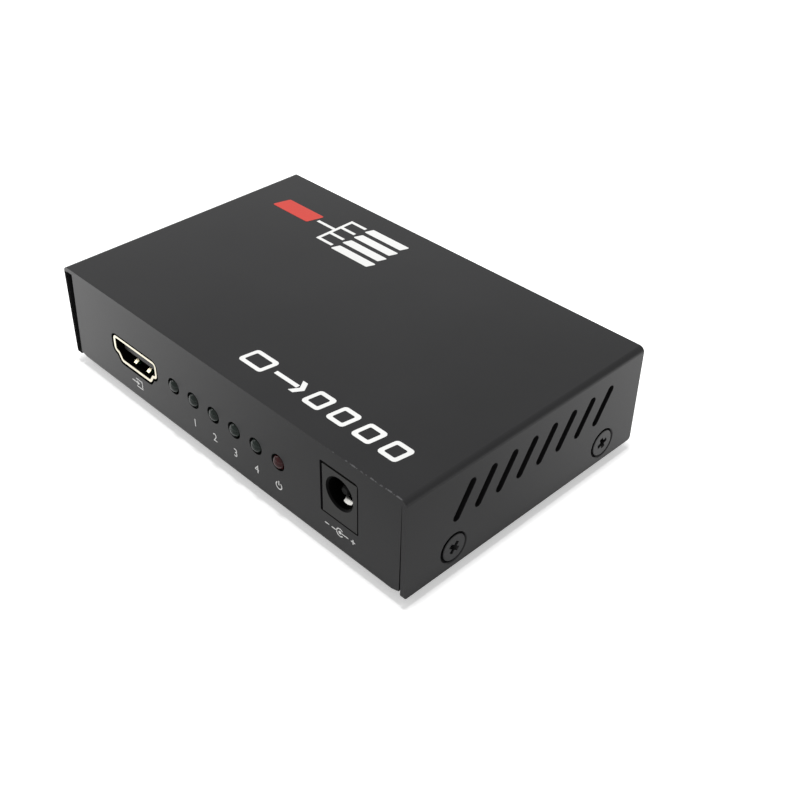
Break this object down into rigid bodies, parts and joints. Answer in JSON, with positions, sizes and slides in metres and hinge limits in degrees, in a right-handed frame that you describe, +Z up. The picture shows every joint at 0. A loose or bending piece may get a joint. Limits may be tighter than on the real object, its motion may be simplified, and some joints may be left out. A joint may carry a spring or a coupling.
{
  "type": "video splitter",
  "caption": "Flat black folded-steel video splitter box with a flared socket, a lamp row and a power jack on its front, slanted side vents, output sockets at the back and rubber feet.",
  "frame": {"origin": "on the surface under the feet, at the middle of the case's width and depth", "axes": "+Z up, -Y out of the front panel with the input socket, lamps and power jack, +X to the right seen from the front"},
  "size_m": [0.104, 0.065, 0.025],
  "materials": {
    "case_paint": "fine satin black powder paint on steel",
    "screw_black": "black-oxide steel",
    "steel_plain": "bright plated steel",
    "board_laminate": "green solder mask on laminate",
    "foot_rubber": "matt black rubber",
    "jack_plastic": "moulded black plastic",
    "contact_nickel": "nickel-plated strip",
    "lens_red": "dark red clear lens, unlit",
    "lens_grey": "grey-green clear lens, unlit",
    "chip_black": "moulded black epoxy",
    "can_aluminium": "drawn aluminium can",
    "shell_gold": "gold-plated drawn steel",
    "insulator_black": "moulded black plastic",
    "contact_gold": "gold-plated contacts"
  },
  "bodies": {
    "case": {"base_tray": "case_paint", "board_screws": "steel_plain", "board_standoffs": "steel_plain", "can_capacitor_1": "can_aluminium", "can_capacitor_2": "can_aluminium", "can_capacitor_3": "can_aluminium", "clock_crystal": "steel_plain", "controller_chip": "chip_black", "cover_screws": "screw_black", "input_port_contacts": "contact_gold", "input_port_insulator": "insulator_black", "input_port_shell": "shell_gold", "lamp_leads": "contact_nickel", "lamp_resistors": "chip_black", "main_board": "board_laminate", "memory_chip": "chip_black", "output_port_1_contacts": "contact_gold", "output_port_1_insulator": "insulator_black", "output_port_1_shell": "shell_gold", "output_port_2_contacts": "contact_gold", "output_port_2_insulator": "insulator_black", "output_port_2_shell": "shell_gold", "output_port_3_contacts": "contact_gold", "output_port_3_insulator": "insulator_black", "output_port_3_shell": "shell_gold", "output_port_4_contacts": "contact_gold", "output_port_4_insulator": "insulator_black", "output_port_4_shell": "shell_gold", "power_choke": "chip_black", "power_jack_body": "jack_plastic", "power_jack_pin": "contact_nickel", "power_jack_side_terminal": "contact_nickel", "power_jack_switch_terminal": "contact_nickel", "power_lamp": "lens_red", "regulator_chip": "chip_black", "rubber_foot_back_left": "foot_rubber", "rubber_foot_back_right": "foot_rubber", "rubber_foot_front_left": "foot_rubber", "rubber_foot_front_right": "foot_rubber", "splitter_chip": "chip_black", "splitter_chip_pins": "contact_nickel", "status_lamp_1": "lens_grey", "status_lamp_2": "lens_grey", "status_lamp_3": "lens_grey", "status_lamp_4": "lens_grey", "status_lamp_5": "lens_grey", "termination_resistors": "chip_black", "top_cover": "case_paint"},
    "plug_contact": {"power_jack_spring": "contact_nickel"}
  },
  "joints": [
    {"name": "plug_contact_flex", "type": "hinge", "parent": "case", "child": "plug_contact", "pos_m": [0.03916, -0.0214, 0.0161], "axis": [0, 0, 1], "range_deg": [0, 4], "stiffness_Nm_per_rad": 0.2}
  ]
}
